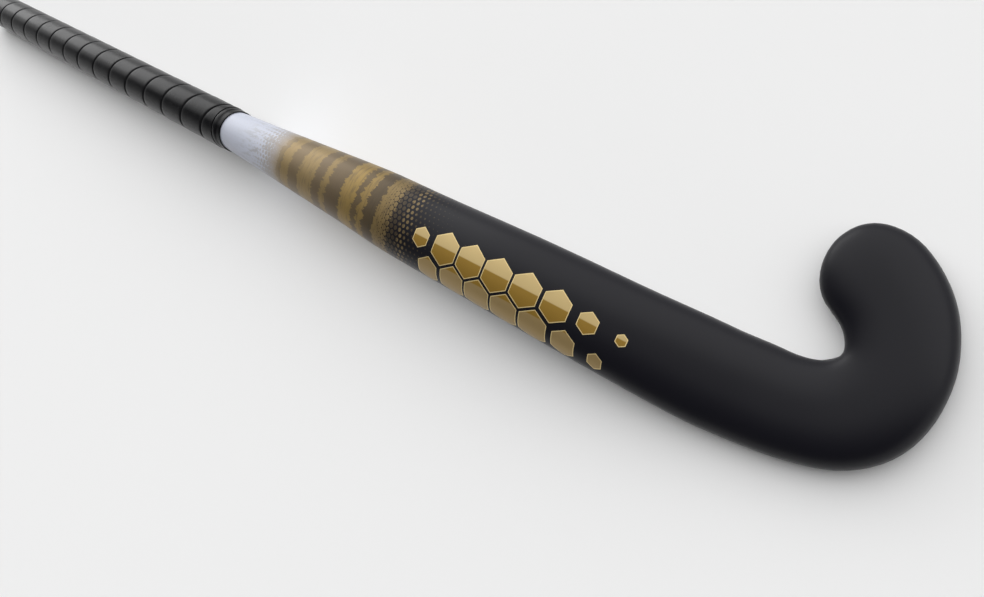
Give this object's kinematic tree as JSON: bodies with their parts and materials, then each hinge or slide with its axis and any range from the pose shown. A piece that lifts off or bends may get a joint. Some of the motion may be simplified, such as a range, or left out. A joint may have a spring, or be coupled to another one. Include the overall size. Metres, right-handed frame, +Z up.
{
  "type": "field hockey stick",
  "caption": "Indoor field hockey stick with a flat playing face, rounded back, slim bowed shaft, short curved hook and a wound tape grip on a round handle.",
  "frame": {"origin": "centre of the stick's bounding box, at the bottom, where its flat playing face lies on the floor", "axes": "+X along the stick from the butt to the head, +Y from the heel side to the toe, +Z up, out of the rounded back"},
  "size_m": [0.9269, 0.1186, 0.0465],
  "materials": {
    "shell": "satin lacquer over moulded fibre laminate, with a printed foil design",
    "laminate": "bare moulded laminate",
    "core": "rigid cell foam",
    "plug": "moulded, matt",
    "underlay": "thin cushion foam",
    "grip": "smooth tacky tape, satin"
  },
  "bodies": {
    "root": {"outer_shell": "shell", "inner_tube_toe_side": "laminate", "inner_tube_heel_side": "laminate", "head_core": "core", "butt_plug": "plug", "grip_underlay": "underlay", "grip_tape": "grip", "finishing_tape": "grip"}
  },
  "joints": []
}
